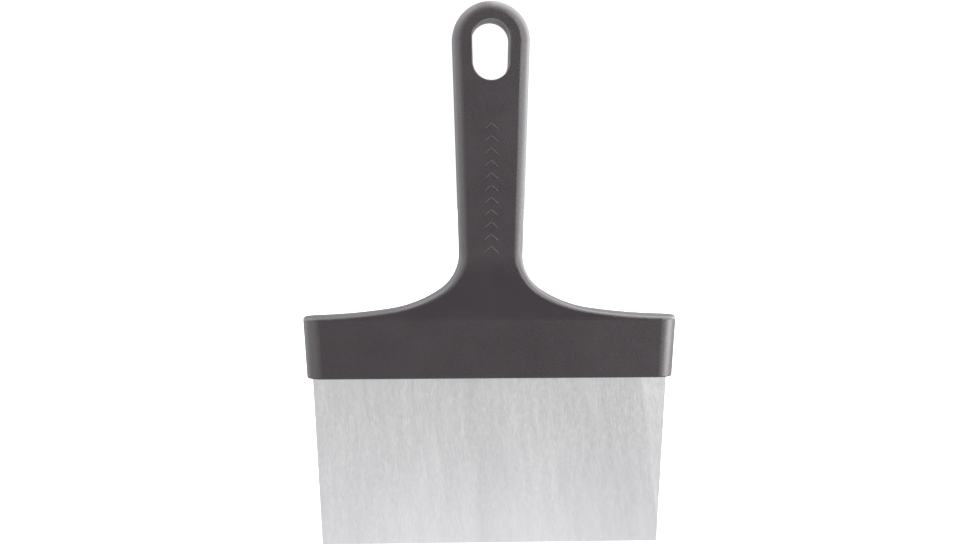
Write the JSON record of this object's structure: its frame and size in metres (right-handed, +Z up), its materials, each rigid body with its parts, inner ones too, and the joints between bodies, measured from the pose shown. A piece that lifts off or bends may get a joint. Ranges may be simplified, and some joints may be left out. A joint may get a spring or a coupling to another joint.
{
  "type": "bench scraper",
  "caption": "Upright dough scraper: a broad flat steel blade with a ground lower edge, clamped in a T-shaped two-shell plastic holder and handle with a hanging slot at its top.",
  "frame": {"origin": "middle of the cutting edge: the bottom centre of the part's box", "axes": "+Z runs up the handle away from the cutting edge, X is the width of the blade, and the front, with the raised chevrons, faces -Y"},
  "size_m": [0.1678, 0.0203, 0.2452],
  "materials": {
    "handle_plastic": "dark grey moulded plastic, satin, finely grained",
    "blade_steel": "stainless steel brushed along the blade's height",
    "tang_steel": "plain mill-finish stainless strip",
    "rivet_steel": "plain stainless"
  },
  "bodies": {
    "root": {"front_shell": "handle_plastic", "rear_shell": "handle_plastic", "blade": "blade_steel", "tang": "tang_steel", "tang_rivets": "rivet_steel"}
  },
  "joints": []
}
